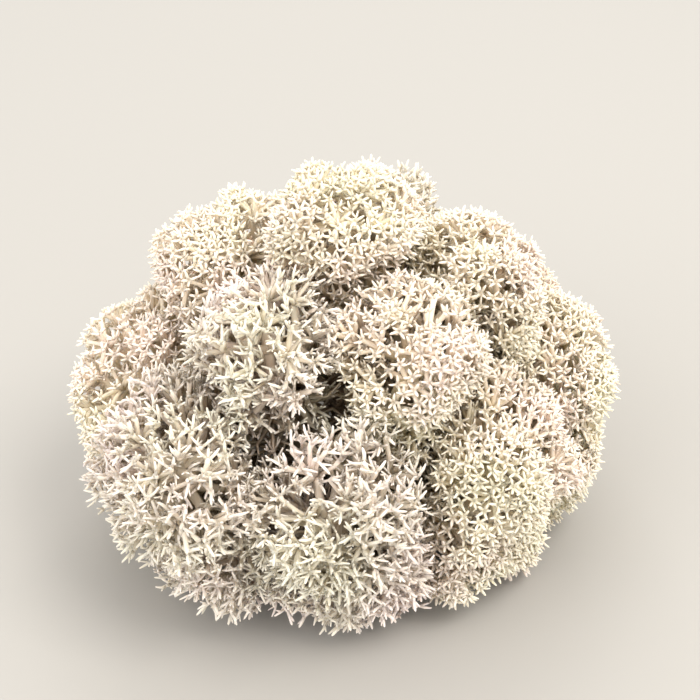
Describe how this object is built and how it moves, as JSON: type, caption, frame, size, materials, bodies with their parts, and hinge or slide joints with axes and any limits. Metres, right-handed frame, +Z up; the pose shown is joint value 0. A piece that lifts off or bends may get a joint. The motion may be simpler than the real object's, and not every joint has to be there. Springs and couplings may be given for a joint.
{
  "type": "reindeer moss clump",
  "caption": "Domed clump of dry, pale reindeer lichen: bushy cushion-like heads of fine forked twigs with star-shaped tips, on slim stems that end in flat feet.",
  "frame": {"origin": "on the surface the clump rests on, under the middle of its bounding box", "axes": "+Z up, +X along the clump's longest side, +Y to its back"},
  "size_m": [0.0608, 0.0538, 0.0432],
  "materials": {
    "cream_thallus": "dry lichen, cream, fully matt",
    "white_thallus": "dry lichen, greyish white, fully matt",
    "beige_thallus": "dry lichen, warm beige, fully matt"
  },
  "bodies": {
    "root": {"podetium_rim_left_front": "white_thallus", "podetium_rim_front": "white_thallus", "podetium_rim_front_right": "cream_thallus", "podetium_rim_right": "cream_thallus", "podetium_rim_right_back": "beige_thallus", "podetium_rim_back": "cream_thallus", "podetium_rim_left_back": "beige_thallus", "podetium_rim_left": "cream_thallus", "podetium_upper_left": "white_thallus", "podetium_upper_front": "cream_thallus", "podetium_upper_right": "cream_thallus", "podetium_upper_right_back": "white_thallus", "podetium_upper_left_back": "cream_thallus", "podetium_top": "cream_thallus"}
  },
  "joints": []
}
